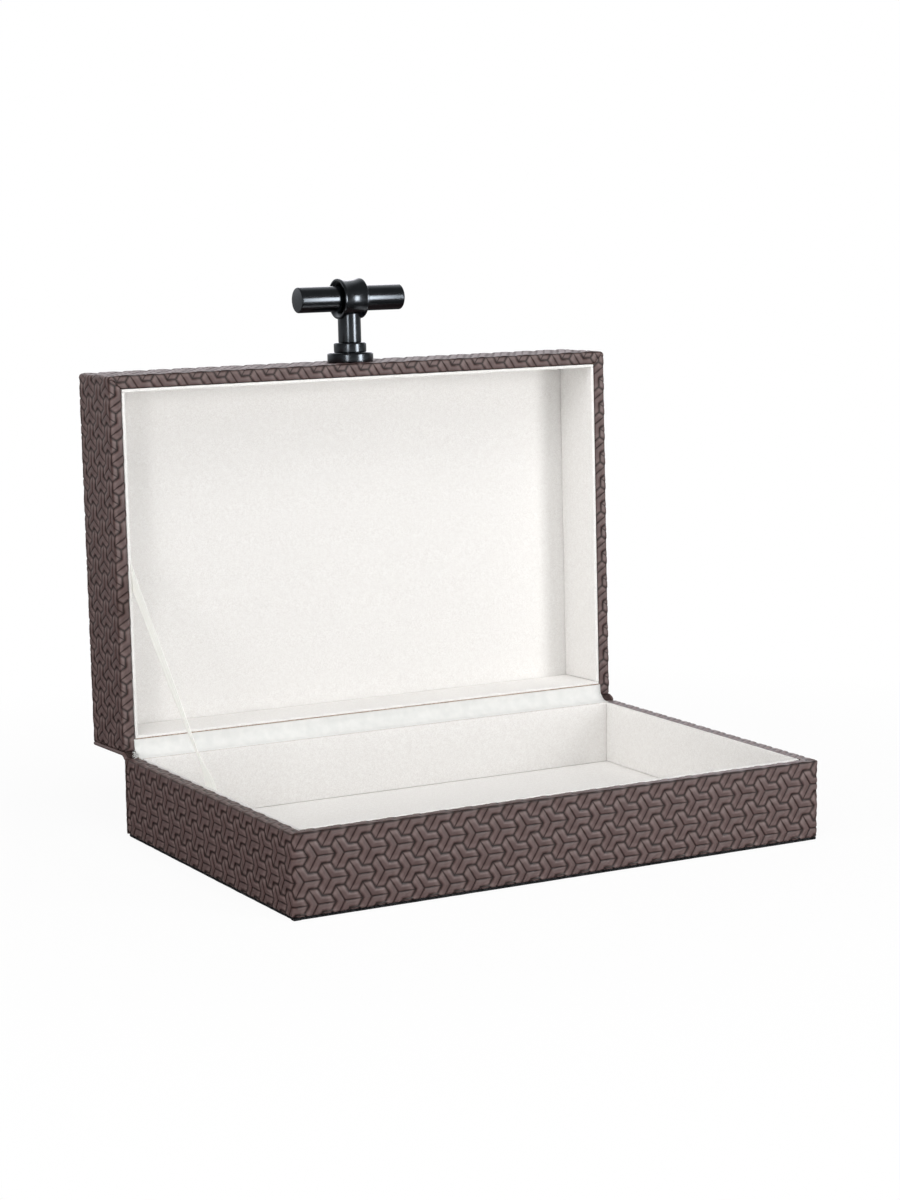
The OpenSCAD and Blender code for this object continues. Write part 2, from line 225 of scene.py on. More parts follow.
def flockedCard():
    # flocked card: dead matt and soft, with a faint mottle
    look = liningLook
    material, tree, place = newMaterial("flockedCard")
    blotch = addNode(tree, "TexNoise", {"Vector": place, "Scale": 1 / (look["mottle"] * mm),
                                        "Detail": 5.0})
    tuft = addNode(tree, "TexNoise", {"Vector": place, "Scale": 1 / (look["fibre"] * mm),
                                      "Detail": 2.0})
    colour = addNode(tree, "ValToRGB", {"Fac": blotch}, [(0.25, look["shade"]), (0.7, look["colour"])])
    fine = addNode(tree, "ValToRGB", {"Fac": tuft}, [(0.3, "#f2f1f0"), (0.65, "#ffffff")])
    colour = addNode(tree, "Mix", {0: 1.0, 6: colour, 7: fine}, data_type="RGBA",
                     blend_type="MULTIPLY")
    relief = addNode(tree, "Bump", {"Height": tuft, "Distance": 0.05 * mm, "Strength": 0.5})
    relief = addNode(tree, "Bump", {"Height": blotch, "Distance": 0.15 * mm, "Strength": 0.3,
                                    "Normal": relief})
    shader = addNode(tree, "BsdfPrincipled", {
        "Base Color": (colour, 2), "Normal": relief, "Roughness": 0.95,
        "Specular IOR Level": 0.15, "Sheen Weight": 0.08, "Sheen Roughness": 0.5})
    addNode(tree, "OutputMaterial", {"Surface": shader})
    return material


tapeLook = {
    "colours": [(0.3, "#dfe0de"), (0.7, "#e8e8e6")],
    "threads": 100.0,         # wave scale that puts the threads 0.5 mm apart
    "dents": 9.0,             # mm across a shallow dent
}


def hingeCloth():
    # fine white cotton tape, starched: smooth, with a plain weave
    look = tapeLook
    material, tree, place = newMaterial("hingeCloth")
    cloth = addNode(tree, "UVMap", uv_map="cloth")
    weaving = {"Vector": cloth, "Scale": look["threads"], "Distortion": 0.6}
    warp, weft = ((addNode(tree, "TexWave", weaving, bands_direction=way), "Fac") for way in "XY")
    weaveHeight = addNode(tree, "Math", {0: warp, 1: weft}, operation="MULTIPLY")
    patch = addNode(tree, "TexNoise", {"Vector": place, "Scale": 1 / (4.0 * mm), "Detail": 3.0})
    colour = addNode(tree, "ValToRGB", {"Fac": patch}, look["colours"])
    dents = addNode(tree, "TexNoise", {"Vector": place, "Scale": 1 / (look["dents"] * mm), "Detail": 1.0})
    relief = addNode(tree, "Bump", {"Height": weaveHeight, "Distance": 0.03 * mm, "Strength": 0.3})
    relief = addNode(tree, "Bump", {"Height": dents, "Distance": 0.5 * mm, "Strength": 0.25,
                                    "Normal": relief})
    shader = addNode(tree, "BsdfPrincipled", {
        "Base Color": colour, "Normal": relief, "Roughness": 0.8, "Sheen Weight": 0.1})
    addNode(tree, "OutputMaterial", {"Surface": shader})
    return material


ribbonLook = {
    "colours": [(0.0, "#f2f2ee"), (1.0, "#fcfcfa")],
    "through": "#fcfcf9",     # light that comes through, as the satin is thin
    "floats": 130.0,          # wave scale of the floats, coarser than the real ones so that they show
}


def satinRibbon():
    # polyester satin: long floats along the ribbon give a soft streaked gloss
    look = ribbonLook
    material, tree, _ = newMaterial("satinRibbon")
    cloth = addNode(tree, "UVMap", uv_map="cloth")
    floats = (addNode(tree, "TexWave", {"Vector": cloth, "Scale": look["floats"], "Distortion": 1.5},
                      bands_direction="X"), "Fac")
    colour = addNode(tree, "ValToRGB", {"Fac": floats}, look["colours"])
    relief = addNode(tree, "Bump", {"Height": floats, "Distance": 0.02 * mm, "Strength": 0.2})
    front = addNode(tree, "BsdfPrincipled", {
        "Base Color": colour, "Normal": relief, "Roughness": 0.42, "Anisotropic": 0.5,
        "Sheen Weight": 0.25})
    through = addNode(tree, "BsdfTranslucent", {"Color": hexColour(look["through"])})
    mixed = addNode(tree, "MixShader", {0: 0.5, 1: front, 2: through})
    addNode(tree, "OutputMaterial", {"Surface": mixed})
    return material


metalLook = {
    "colours": [(0.3, "#595d62"), (0.7, "#5f6368")],
    "patch": 6.0,             # mm across a patch of another gloss
    "roughness": (0.21, 0.26),
    "grit": 0.3,              # mm between the marks of the bead blast, coarser than the real ones
}


def blackSatinMetal():
    # zinc casting with a black electroplate, bead-blasted fine: dark, with soft-edged highlights
    look = metalLook
    material, tree, place = newMaterial("blackSatinMetal")
    patch = addNode(tree, "TexNoise", {"Vector": place, "Scale": 1 / (look["patch"] * mm), "Detail": 3.0})
    colour = addNode(tree, "ValToRGB", {"Fac": patch}, look["colours"])
    low, high = look["roughness"]
    rough = addNode(tree, "MapRange", {"Value": patch, "To Min": low, "To Max": high})
    grit = addNode(tree, "TexNoise", {"Vector": place, "Scale": 1 / (look["grit"] * mm), "Detail": 2.0})
    relief = addNode(tree, "Bump", {"Height": grit, "Distance": 0.003 * mm, "Strength": 0.05})
    shader = addNode(tree, "BsdfPrincipled", {
        "Base Color": colour, "Normal": relief, "Roughness": rough, "Metallic": 1.0})
    addNode(tree, "OutputMaterial", {"Surface": shader})
    return material


leather, lining, cotton = embossedLeatherette(), flockedCard(), hingeCloth()
satin, blackMetal = satinRibbon(), blackSatinMetal()
backing = mottledMaterial("leatheretteBackingAndShade", backingAndShadeLook)
cardCore = mottledMaterial("rawCard", cardCoreLook)
felt = mottledMaterial("blackFelt", feltLook)
board = mottledMaterial("greyBoard", boardLook)
steel = mottledMaterial("plainSteel", steelLook)
print("case: materials made")


# Meshes

def makePiece(name, points, faces, materials, body=None, slot=None, replaces=(),
              attributes=None, faceMaterial=None, uv=None, smooth=True):
    # points in mm and one array of faces, all with the same number of corners
    mesh = bpy.data.meshes.new(name)
    mesh.vertices.add(len(points))
    mesh.vertices.foreach_set("co", (np.asarray(points, float) * mm).astype(np.float32).ravel())
    corners = faces.shape[1]
    mesh.loops.add(faces.size)
    mesh.loops.foreach_set("vertex_index", faces.astype(np.int32).ravel())
    mesh.polygons.add(len(faces))
    mesh.polygons.foreach_set("loop_start", np.arange(len(faces), dtype=np.int32) * corners)
    if faceMaterial is not None:
        mesh.polygons.foreach_set("material_index", faceMaterial.astype(np.int32))
    mesh.polygons.foreach_set("use_smooth", np.full(len(faces), smooth))
    mesh.update(calc_edges=True)
    for key, values in (attributes or {}).items():
        mesh.attributes.new(key, "FLOAT", "POINT").data.foreach_set("value", values.astype(np.float32))
    if uv is not None:
        layer = mesh.uv_layers.new(name="cloth")
        layer.data.foreach_set("uv", uv[faces.ravel()].astype(np.float32).ravel())
    for material in materials:
        mesh.materials.append(material)
    piece = bpy.data.objects.new(name, mesh)
    bpy.context.scene.collection.objects.link(piece)
    if body:
        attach(piece, body)
    if replaces:
        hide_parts(*replaces)
    return piece


def roundedPath(corners, radii, steps=8):
    # a line through corners, with each inner corner rounded to an arc of its radius
    corners = np.asarray(corners, float)
    out = [corners[0]]
    for before, corner, after, r in zip(corners, corners[1:], corners[2:], radii):
        a, b = before - corner, after - corner
        a, b = a / np.linalg.norm(a), b / np.linalg.norm(b)
        half = math.acos(np.clip(a @ b, -1, 1)) / 2
        away = r / math.tan(half)
        middle = corner + (a + b) / np.linalg.norm(a + b) * r / math.sin(half)
        first, last = corner + a * away - middle, corner + b * away - middle
        turn = math.pi - 2 * half
        t = np.linspace(0, 1, steps + 1)[:, None]
        out += list(middle + (first * np.sin((1 - t) * turn) + last * np.sin(t * turn)) / math.sin(turn))
    out.append(corners[-1])
    return np.array(out)


def alongPath(path, distance):
    # place, direction and outward normal of a plane path at distances along it
    steps = np.linalg.norm(np.diff(path, axis=0), axis=1)
    keep = np.append(True, steps > 1e-9)
    path = path[keep]
    travelled = np.append(0, np.cumsum(np.linalg.norm(np.diff(path, axis=0), axis=1)))
    tangent = np.gradient(path, travelled, axis=0)
    at = [np.interp(distance, travelled, path[:, i]) for i in (0, 1)]
    way = np.stack([np.interp(distance, travelled, tangent[:, i]) for i in (0, 1)], -1)
    way /= np.linalg.norm(way, axis=-1, keepdims=True)
    return np.stack(at, -1), way, np.stack([way[..., 1], -way[..., 0]], -1)


def pathLength(path):
    return np.linalg.norm(np.diff(path, axis=0), axis=1).sum()


def gridFaces(index, around=False):
    # a face between each four neighbours of a grid; around joins its last column to its first
    left, right = (index, np.roll(index, -1, -1)) if around else (index[..., :-1], index[..., 1:])
    corners = left[..., :-1, :], right[..., :-1, :], right[..., 1:, :], left[..., 1:, :]
    return np.stack(corners, -1).reshape(-1, 4)


def gridBorder(index):
    # the points along the border of a grid, once round
    return np.concatenate([index[0], index[1:, -1], index[-1, -2::-1], index[-2:0:-1, 0]])


def splitFaces(faces):
    # two triangles for each face of four corners
    return np.concatenate([faces[:, [0, 1, 2]], faces[:, [0, 2, 3]]])


def sealPoles(piece):
    # joins the points of each ring that has shrunk to one place
    piece.modifiers.new("seal", "WELD").merge_threshold = 0.00001


# Emboss: figures of three bent strands each, laid on a skewed lattice

weave = {
    "pitch": 12.2,            # mm from one figure to the next along a row
    "row": 10.0,              # mm from row to row
    "sideHalf": 0.42,         # half width of the groove along a strand
    "tipHalf": 0.52,          # and of the wider one at its tip
    "sideDeep": 0.95,         # depth of the first as a share of the second's
    "grooveDeep": 0.4,
    "steep": 1.6,             # how steep a groove's sides are
    "crown": 0.16,            # how much a strand is domed across
    "endDrop": 0.45,          # how far a strand's end dips
    "endReach": 4.0,          # mm over which it dips
    "endCurve": 1.6,          # 1 is a straight dip, more a rounded one
    "highlightAt": 1.3,            # mm from the end to where the painted highlight is brightest
    "highlightReach": 0.9,
    "crowd": 1.5,             # how strongly the mesh is drawn to the grooves
    "seamDeep": 0.3,          # how far it lies down where two strips meet
    "turnedIn": 0.15,         # how dark the turned-in border is, from 0 to 1
}


def strandShapes():
    # one bent strand is two quads, each (elbow outside, tip outside, tip inside, elbow inside), turned
    # by thirds of a turn on the lattice and copied round the middle cell
    third, step = weave["row"] / 3, weave["pitch"] / 6
    quads = np.array([[(0, 0), (4, 0), (3, 1), (1, 1)], [(0, 0), (-2, 2), (0, 2), (1, 1)]])
    shapes = []
    a, b = (quads[..., 0] - quads[..., 1]) / 2, quads[..., 1] * 1.0
    for turn in range(3):
        flat = np.stack([(2 * a + b) * step, b * third], -1)
        for row in range(-2, 3):
            for column in range(-3, 4):
                shapes.append(flat + [(column + row / 2) * weave["pitch"], row * weave["row"]])
        a, b = -a - b, a
    return np.concatenate(shapes)


def edgeDistance(points, starts, ends):
    # distance from each point to each straight edge
    way = ends - starts
    along = ((points[:, None] - starts) * way).sum(-1) / (way * way).sum(-1)
    nearest = starts + np.clip(along, 0, 1)[..., None] * way
    return np.linalg.norm(points[:, None] - nearest, axis=-1)


def crossed(a, b):
    # how far a stands to the side of b, times the length of b
    return a[..., 0] * b[..., 1] - a[..., 1] * b[..., 0]


def weaveRelief(u, v):
    # height under the strand tops in mm, how deep in a groove from 0 to 1, place across the
    # strand from 0 to 1, and how strong the painted highlight near its end is: each place of the cell is
    # worked out once.
    # Grooves and the painted highlight are bell curves of the distance to a strand's edges and tip, the
    # dip is a power of the way to the tip, and the dome the square of the way from the strand's middle
    pitch, rowPitch = weave["pitch"], weave["row"]
    row = np.floor(v / rowPitch)
    u, v = u - row * pitch / 2, v - row * rowPitch
    u = u - np.floor(u / pitch) * pitch
    places, back = np.unique(np.round(np.stack([u, v], -1), 3), axis=0, return_inverse=True)
    back = back.ravel()
    quads = strandShapes()
    near = np.linalg.norm(quads.mean(1) - [pitch / 2, rowPitch / 2], axis=1) < pitch * 1.3
    quads = quads[near]
    centre = quads.mean(1)
    found = []
    for part in np.array_split(places, max(1, len(places) // 4000)):    # in parts, to save memory
        longSide = edgeDistance(part, quads[:, 0], quads[:, 1])
        tip = edgeDistance(part, quads[:, 1], quads[:, 2])
        shortSide = edgeDistance(part, quads[:, 2], quads[:, 3])
        gap = np.minimum(longSide, shortSide).min(1)
        inside = np.ones(longSide.shape, bool)
        for k in range(4):
            start = quads[:, k]
            way = quads[:, (k + 1) % 4] - start
            side = crossed(part[:, None] - start, way)
            inside &= side * np.sign(crossed(centre - start, way)) > -1e-6
        own = np.argmax(inside, 1)
        rows = np.arange(len(part))
        first = quads[own, 0]
        line = quads[own, 1] - first
        share = np.abs(crossed(part - first, line)) / np.abs(crossed(quads[own, 3] - first, line))
        found.append(np.stack([gap, tip.min(1), np.clip(share, 0, 1), tip[rows, own]], -1))
    gap, tipGap, across, tip = np.concatenate(found)[back].T
    groove = np.maximum(weave["sideDeep"] * np.exp(-weave["steep"] * (gap / weave["sideHalf"]) ** 2),
                        np.exp(-weave["steep"] * (tipGap / weave["tipHalf"]) ** 2))
    dip = np.clip(1 - tip / weave["endReach"], 0, 1) ** weave["endCurve"]
    dome = weave["crown"] * (2 * across - 1) ** 2
    height = -weave["grooveDeep"] * groove - (weave["endDrop"] * dip + dome) * (1 - groove)
    # painted highlight: the strand is lightened near its end, away from the groove
    tipHighlight = np.exp(-((tip - weave["highlightAt"]) / weave["highlightReach"]) ** 2) * (1 - groove)
    return height, groove, across, tipHighlight


def weaveGrid(uRange, vRange, phase, fine):
    # triangles of a skewed grid that lies on the strands' lattice, with fine steps a strand and
    # its rows crowded toward the grooves; phase is the middle of one figure
    side, half, third = weave["pitch"] / 3, weave["pitch"] / 6, weave["row"] / 3
    bLow = math.floor((vRange[0] - phase[1]) / third) * fine
    bHigh = math.ceil((vRange[1] - phase[1]) / third) * fine
    aLow = math.floor((uRange[0] - phase[0] - bHigh / fine * half) / side) * fine
    aHigh = math.ceil((uRange[1] - phase[0] - bLow / fine * half) / side) * fine
    a, b = np.meshgrid(np.arange(aLow, aHigh + 1), np.arange(bLow, bHigh + 1))
    cellA, cellB = np.floor(a / fine), np.floor(b / fine)
    fa, fb = a / fine - cellA, b / fine - cellB
    upper = fa + fb > 1 + 1e-9
    weights = np.where(upper, [fa + fb - 1, 1 - fa, 1 - fb], [1 - fa - fb, fa, fb])
    weights = np.clip(weights, 0, 1) ** weave["crowd"]
    weights = weights / weights.sum(0)
    cornerA = np.where(upper, [cellA + 1, cellA, cellA + 1], [cellA, cellA + 1, cellA])
    cornerB = np.where(upper, [cellB + 1, cellB + 1, cellB], [cellB, cellB, cellB + 1])
    gridA, gridB = (weights * cornerA).sum(0), (weights * cornerB).sum(0)
    u = phase[0] + gridA * side + gridB * half
    v = phase[1] + gridB * third
    index = np.arange(a.size).reshape(a.shape)
    low = np.stack([index[:-1, :-1], index[:-1, 1:], index[1:, :-1]], -1).reshape(-1, 3)
    high = np.stack([index[:-1, 1:], index[1:, 1:], index[1:, :-1]], -1).reshape(-1, 3)
    faces = np.concatenate([low, high])
    u, v = u.ravel(), v.ravel()
    outside = [u < uRange[0] - 1e-9, u > uRange[1] + 1e-9, v < vRange[0] - 1e-9, v > vRange[1] + 1e-9]
    drop = np.zeros(len(faces), bool)
    for beyond in outside:
        drop |= beyond[faces].all(1)
    faces = faces[~drop]
    return np.clip(u, *uRange), np.clip(v, *vRange), faces


def tidyMesh(faces, count):
    # keeps only the points that faces use, and gives the new faces
    used = np.zeros(count, bool)
    used[faces.ravel()] = True
    renumber = np.cumsum(used) - 1
    return used, renumber[faces]


def embossedPiece(name, u, v, faces, shape, phase, skirt=0.8, edges=None, opened=stay, **details):
    # shape gives place and normal at u, v; the relief moves points along the normal, and the
    # border is turned in by skirt mm so that the leatherette shows its thickness
    place, normal, shut = shape(u, v)
    faces = faces[~shut[faces].all(1)]
    used, faces = tidyMesh(faces, len(u))
    place, normal, u, v, shut = place[used], normal[used], u[used], v[used], shut[used]
    height, groove, across, tipHighlight = weaveRelief(u - phase[0], v - phase[1])
    if edges:
        flat, dark = edges(u, v)
        height = height * (1 - flat)
        groove = np.maximum(groove, dark)
    height[shut] = -weave["seamDeep"]
    groove[shut] = 1
    points = place + normal * height[:, None]
    pairs = np.concatenate([faces[:, [0, 1]], faces[:, [1, 2]], faces[:, [2, 0]]])
    order = np.sort(pairs, 1)
    _, first, counts = np.unique(order, axis=0, return_index=True, return_counts=True)
    border = pairs[first[counts == 1]]
    rim, renumber = np.unique(border, return_inverse=True)
    renumber = renumber.reshape(border.shape) + len(points)
    under = place[rim] - normal[rim] * skirt
    wall = np.concatenate([np.stack([border[:, 1], border[:, 0], renumber[:, 0]], -1),
                           np.stack([border[:, 1], renumber[:, 0], renumber[:, 1]], -1)])
    # groove darkens the colour, partly pigment and partly painted shade; crown carries the painted
    # highlight near the strand ends
    attributes = {"groove": np.append(groove, np.full(len(rim), weave["turnedIn"])),
                  "across": np.append(across, across[rim]), "crown": np.append(tipHighlight, tipHighlight[rim])}
    piece = makePiece(name, opened(np.concatenate([points, under])), np.concatenate([faces, wall]),
                      [leather], slot="leatherette", attributes=attributes, **details)
    print("case:", name, len(faces) + len(wall), "triangles")
    return piece


# Leatherette round the front and sides of base and lid

case = {
    "cornerR": 2.0,           # upright corners
    "rimR": 0.9,              # edges of the rims
    "endR": 1.2,              # back ends, turned over the boards
    "backGap": 0.3,           # how far the turned ends stay in front of the spine's face
    "endTurn": 3.0,           # how far they go on behind the boards
    "fine": 6,                # mesh steps across a strand
    "turnIn": 3.0,            # how far the modelled cover goes down behind the lining
    "flattened": 1.5,         # mm above the underside over which the relief fades out
    "edgeWidths": (0.7, 0.5), # mm to each side of the rim's outer and inner edge that are pressed
    "edgeFlat": 0.35,
    "edgeDark": 0.8,
    "sideEdgeDark": 0.4,      # less along the sides
    # the middle of one figure, along from the middle of the front and up from the rim
    "baseFigure": (-69.9, -10.3),
    "lidFigure": (-97.3, 3.7),
}
wrapLow, wrapHigh = nodeBox("base_wrap")
lidLow, lidHigh = nodeBox("lid_wrap", True)
sideX, frontY = wrapHigh[0], wrapLow[1]
backY = nodeBox("spine_base_leaf")[1][1]
wrapBackY = backY - case["backGap"]
rimWide = sideX + nodeBox("base_left_lining")[0][0]


def wrapShape(profile, zero):
    # carries the profile (outwards, up) round the plan: left side, front and right side; on the
    # rim both strips stop at the mitre, and the back ends curl over the boards
    r, end = case["cornerR"], case["endR"]
    sideRun = wrapBackY - end - (frontY + r)
    arcRun = r * math.pi / 2
    frontRun = 2 * (sideX - r)
    total = 2 * sideRun + 2 * arcRun + frontRun

    def shape(u, v):
        at, _, lean = alongPath(profile, v + zero)
        out, up = at[:, 0], at[:, 1]
        inward = -out
        past = np.maximum(np.maximum(-u, u - total), 0)
        s = np.clip(u, 0, total)
        legs = np.cumsum([sideRun, arcRun, frontRun, arcRun])
        leg = np.searchsorted(legs, s, side="right")
        turn = np.select([leg == 1, leg == 2, leg == 3, leg == 4],
                         [(s - legs[0]) / r, math.pi / 2, math.pi / 2 + (s - legs[2]) / r, math.pi], 0.0)
        nx, ny = -np.cos(turn), -np.sin(turn)
        cx = np.select([leg == 2], [s - legs[1] - (sideX - r)], np.where(leg < 2, r - sideX, sideX - r))
        cy = np.select([leg == 0, leg == 4],
                       [wrapBackY - end - s, frontY + r + (s - legs[3])], frontY + r)
        reach = r - inward
        limit = np.maximum(inward - r, 0)
        shut = np.zeros(len(u), bool)
        arc = (leg == 1) | (leg == 3)
        shut |= arc & (reach < 0)
        x, y = cx + reach * nx, cy + reach * ny
        mitreX = np.where(leg < 2, -1, 1) * (sideX - r - limit)
        x = np.where(arc & (reach < 0), mitreX, x)
        y = np.where(arc & (reach < 0), frontY + r + limit, y)
        onSide = (leg == 0) | (leg == 4)
        shut |= onSide & (y < frontY + r + limit - 1e-9) & (limit > 0)
        y = np.where(onSide, np.maximum(y, frontY + r + limit), y)
        tight = np.abs(x) > sideX - r - limit + 1e-9
        shut |= (leg == 2) & tight & (limit > 0)
        x = np.where(leg == 2, np.clip(x, -(sideX - r - limit), sideX - r - limit), x)
        normal = np.stack([nx * lean[:, 0], ny * lean[:, 0], lean[:, 1]], -1)
        place = np.stack([x, y, up], -1)
        curl = np.minimum(past / end, math.pi / 2)
        place[:, 1] += end * np.sin(curl)
        behind = end * (1 - np.cos(curl)) + np.maximum(past - end * math.pi / 2, 0)
        place -= normal * behind[:, None]
        turned = normal * np.cos(curl)[:, None]
        turned[:, 1] += np.sin(curl)
        return place, turned, shut

    return shape, total


def rimEdge(outer, inner, bottom):
    # how flat the emboss is pressed along the two rounded edges of the rim and below the bottom,
    # and how dark the leatherette is there, most of all along the front
    def edge(u, v):
        front = (u > frontStart) & (u < frontStart + 2 * (sideX - case["cornerR"]))
        atOuter, atInner = (np.exp(-((v - at) / width) ** 2)
                            for at, width in zip((outer, inner), case["edgeWidths"]))
        fading = np.clip(1 - (v - bottom) / case["flattened"], 0, 1)
        dark = np.where(front, case["edgeDark"], case["sideEdgeDark"]) * atOuter
        flat = np.maximum(case["edgeFlat"] * (atOuter + atInner), fading)
        return flat, dark + case["edgeDark"] * atInner
    return edge


def wrapCover(name, profile, radii, zeroCorner, phase, node, body, opened, edges):
    # one cover round the front and sides; v is 0 at the corner numbered zeroCorner of its profile
    path = roundedPath(profile, radii)
    corner = np.asarray(profile, float)[zeroCorner]
    nearest = np.argmin(np.linalg.norm(path - corner, axis=1))
    zero = pathLength(path[:nearest + 1])
    shape, total = wrapShape(path, zero)
    extra = case["endR"] * math.pi / 2 + case["endTurn"]
    span = (-zero, pathLength(path) - zero)
    u, v, faces = weaveGrid((-extra, total + extra), span, phase, case["fine"])
    embossedPiece(name, u, v, faces, shape, phase, edges=edges, opened=opened, body=body,
                  replaces=[node])


underZ, rimZ = wrapLow[2], wrapHigh[2]
baseProfile = [(-6.0, underZ), (0, underZ), (0, rimZ), (-rimWide, rimZ),
               (-rimWide, rimZ - case["turnIn"])]
sideLength = wrapBackY - case["endR"] - frontY - case["cornerR"]
frontStart = sideLength + case["cornerR"] * math.pi / 2
frontMiddle = frontStart + (sideX - case["cornerR"])
basePhase = (frontMiddle + case["baseFigure"][0], case["baseFigure"][1])
wrapCover("base_leatherette", baseProfile, (0.8, case["rimR"], case["rimR"]), 2, basePhase,
          "base_wrap", "base", stay, rimEdge(0, rimWide, underZ - rimZ))

lidRimZ, lidSkinZ = lidLow[2], lidHigh[2]
lidProfile = [(-rimWide, lidRimZ + case["turnIn"]), (-rimWide, lidRimZ), (0, lidRimZ), (0, lidSkinZ)]
lidPhase = (frontMiddle + case["lidFigure"][0], case["lidFigure"][1])
wrapCover("lid_leatherette", lidProfile, (case["rimR"], case["rimR"]), 2, lidPhase,
          "lid_wrap", "lid", openLid, rimEdge(0, -rimWide, -100))


# Leatherette over the lid's top, rolled over its four edges

skin = {
    "edgeR": 1.0,             # radius of the roll over the edges
    "skirt": 0.6,             # how far its border is turned in
    "fine": 5,                # mesh steps across a strand
    "phase": (0.0, 3.0),      # the middle of one figure
}


def topSkin():
    # flat, and over each edge a quarter of a circle down
    high = nodeBox("lid_top_skin", True)[1]
    r, corner = skin["edgeR"], case["cornerR"]

    def shape(u, v):
        # the nearest place on a rounded plan smaller by the roll's radius, and past it an arc down
        insideX, insideY = sideX - corner, frontY + corner
        qx = np.clip(u, -insideX, insideX)
        qy = np.clip(v, insideY, high[1] - r)
        dx, dy = u - qx, v - qy
        away = np.hypot(dx, dy)
        flat = np.where((v < insideY) | (np.abs(u) > insideX), corner - r, 0.0)
        beyond = np.maximum(away - flat, 0)
        mx, my = dx / np.maximum(away, 1e-9), dy / np.maximum(away, 1e-9)
        angle = np.minimum(beyond / r, math.pi / 2)
        reach = np.minimum(away, flat) + r * np.sin(angle)
        place = np.stack([qx + mx * reach, qy + my * reach, high[2] - r * (1 - np.cos(angle))], -1)
        normal = np.stack([mx * np.sin(angle), my * np.sin(angle), np.cos(angle)], -1)
        return place, normal, beyond > r * math.pi / 2 + 1e-6

    roll = r * (math.pi / 2 - 1)
    u, v, faces = weaveGrid((-sideX - roll, sideX + roll), (frontY - roll, backY + roll),
                            skin["phase"], skin["fine"])
    embossedPiece("lid_top_leatherette", u, v, faces, shape, skin["phase"], skirt=skin["skirt"],
                  opened=openLid, body="lid", replaces=["lid_top_skin"])


topSkin()


# Spine: one strip of leatherette up the base's back, free across the hinge, and on along the lid

spine = {
    "bend": 1.1,              # radius of the two bends in the free part
    "foot": 0.8,              # radius at the base's lower edge
    "thick": 1.1,             # the leatherette with its backing cloth
    "backing": 0.05,          # mm that the backing lies below that
    "over": 0.45,             # how far it reaches past the CAD strip at each end
    "proud": 0.8,             # how far the cover stands off the lid's back beyond the CAD strip
    "fine": 5,
    "phase": (4.0, 8.0),
    "roll": {"radius": 0.85, "down": 4.0, "up": 33.5, "inside": 0.4},    # of its turned-in ends
}


def openedPoint(y, z):
    return openLid(np.array([0.0, y, z]))[1:]


def spineCover():
    # a rounded line (back, up), carried straight along the hinge
    low, high = nodeBox("spine_base_leaf")
    endX = high[0] + spine["over"]
    lidTop = nodeBox("spine_lid_leaf", True)[1][2]
    lidBackY = backY + spine["proud"]
    outer = [(low[1], low[2]), (backY, low[2]), (backY, rimZ - 0.2),
             openedPoint(lidBackY, lidRimZ + 0.7), openedPoint(lidBackY, lidTop)]
    path = roundedPath(outer, (spine["foot"], spine["bend"], spine["bend"]))
    length = pathLength(path)

    def shape(u, v):
        at, _, lean = alongPath(path, v)
        place = np.stack([-u, at[:, 0], at[:, 1]], -1)
        normal = np.stack([np.zeros(len(u)), lean[:, 0], lean[:, 1]], -1)
        return place, normal, np.zeros(len(u), bool)

    u, v, faces = weaveGrid((-endX, endX), (0, length), spine["phase"], spine["fine"])
    cover = embossedPiece("spine_leatherette", u, v, faces, shape, spine["phase"], skirt=spine["thick"],
                          replaces=["spine_base_leaf", "spine_fold", "spine_lid_leaf"])
    # dark backing on its inner side, seen in the gap at the ends of the hinge; its colour is deepened as
    # painted shade of that hollow
    across, along = np.meshgrid(np.linspace(-endX, endX, 12), np.linspace(0, length, 140))
    place, normal, _ = shape(across.ravel(), along.ravel())
    under = place - normal * spine["thick"] - normal * spine["backing"]
    faces = gridFaces(np.arange(across.size).reshape(across.shape))[:, ::-1]
    pieces = [cover, makePiece("spine_backing", under, faces, [backing], slot="leatherette")]
    # at each end the leatherette is turned in: a roll from below the hinge to the lid's top, which is
    # a tube along the strip's middle
    roll = spine["roll"]
    ends = [backY, rimZ - roll["down"]], openedPoint(lidBackY, lidRimZ + roll["up"])
    v = np.linspace(*(pathLength(path[:np.argmin(np.linalg.norm(path - point, axis=1)) + 1])
                      for point in ends), 72)
    at, _, lean = alongPath(path, np.concatenate([[v[0]], v, [v[-1]]]))
    angle = np.linspace(0, 2 * math.pi, 14, endpoint=False)
    radius = roll["radius"] * np.concatenate([[0, 0.7], np.ones(69), [0.85, 0.6, 0]])[:, None]
    rollX = endX - roll["inside"]
    for name, x in (("spine_end_left", -rollX), ("spine_end_right", rollX)):
        offset = radius * np.sin(angle) - spine["thick"] / 2
        points = np.stack([x + radius * np.cos(angle), at[:, :1] + lean[:, :1] * offset,
                           at[:, 1:] + lean[:, 1:] * offset], -1)
        count = points[..., 0].size
        faces = gridFaces(np.arange(count).reshape(-1, len(angle)), True)
        plain = {"groove": np.full(count, 0.1), "across": np.zeros(count), "crown": np.zeros(count)}
        pieces.append(makePiece(name, points.reshape(-1, 3), faces, [leather], slot="leatherette",
                                attributes=plain))
        sealPoles(pieces[-1])
    for piece in pieces:
        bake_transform(piece)


spineCover()


# Linings: flocked cards, each a slightly uneven sheet with soft edges and a raw core below

cards = {
    "round": 0.45,            # radius of the flocked edge
    "wave": 0.12,             # how far a card bows, in mm
    "seam": 0.12,             # gap left at each joint
    "core": 0.45,             # height of the raw core that shows at the cut edge
    "calm": 12.0,             # mm from the edges over which the bowing starts
}


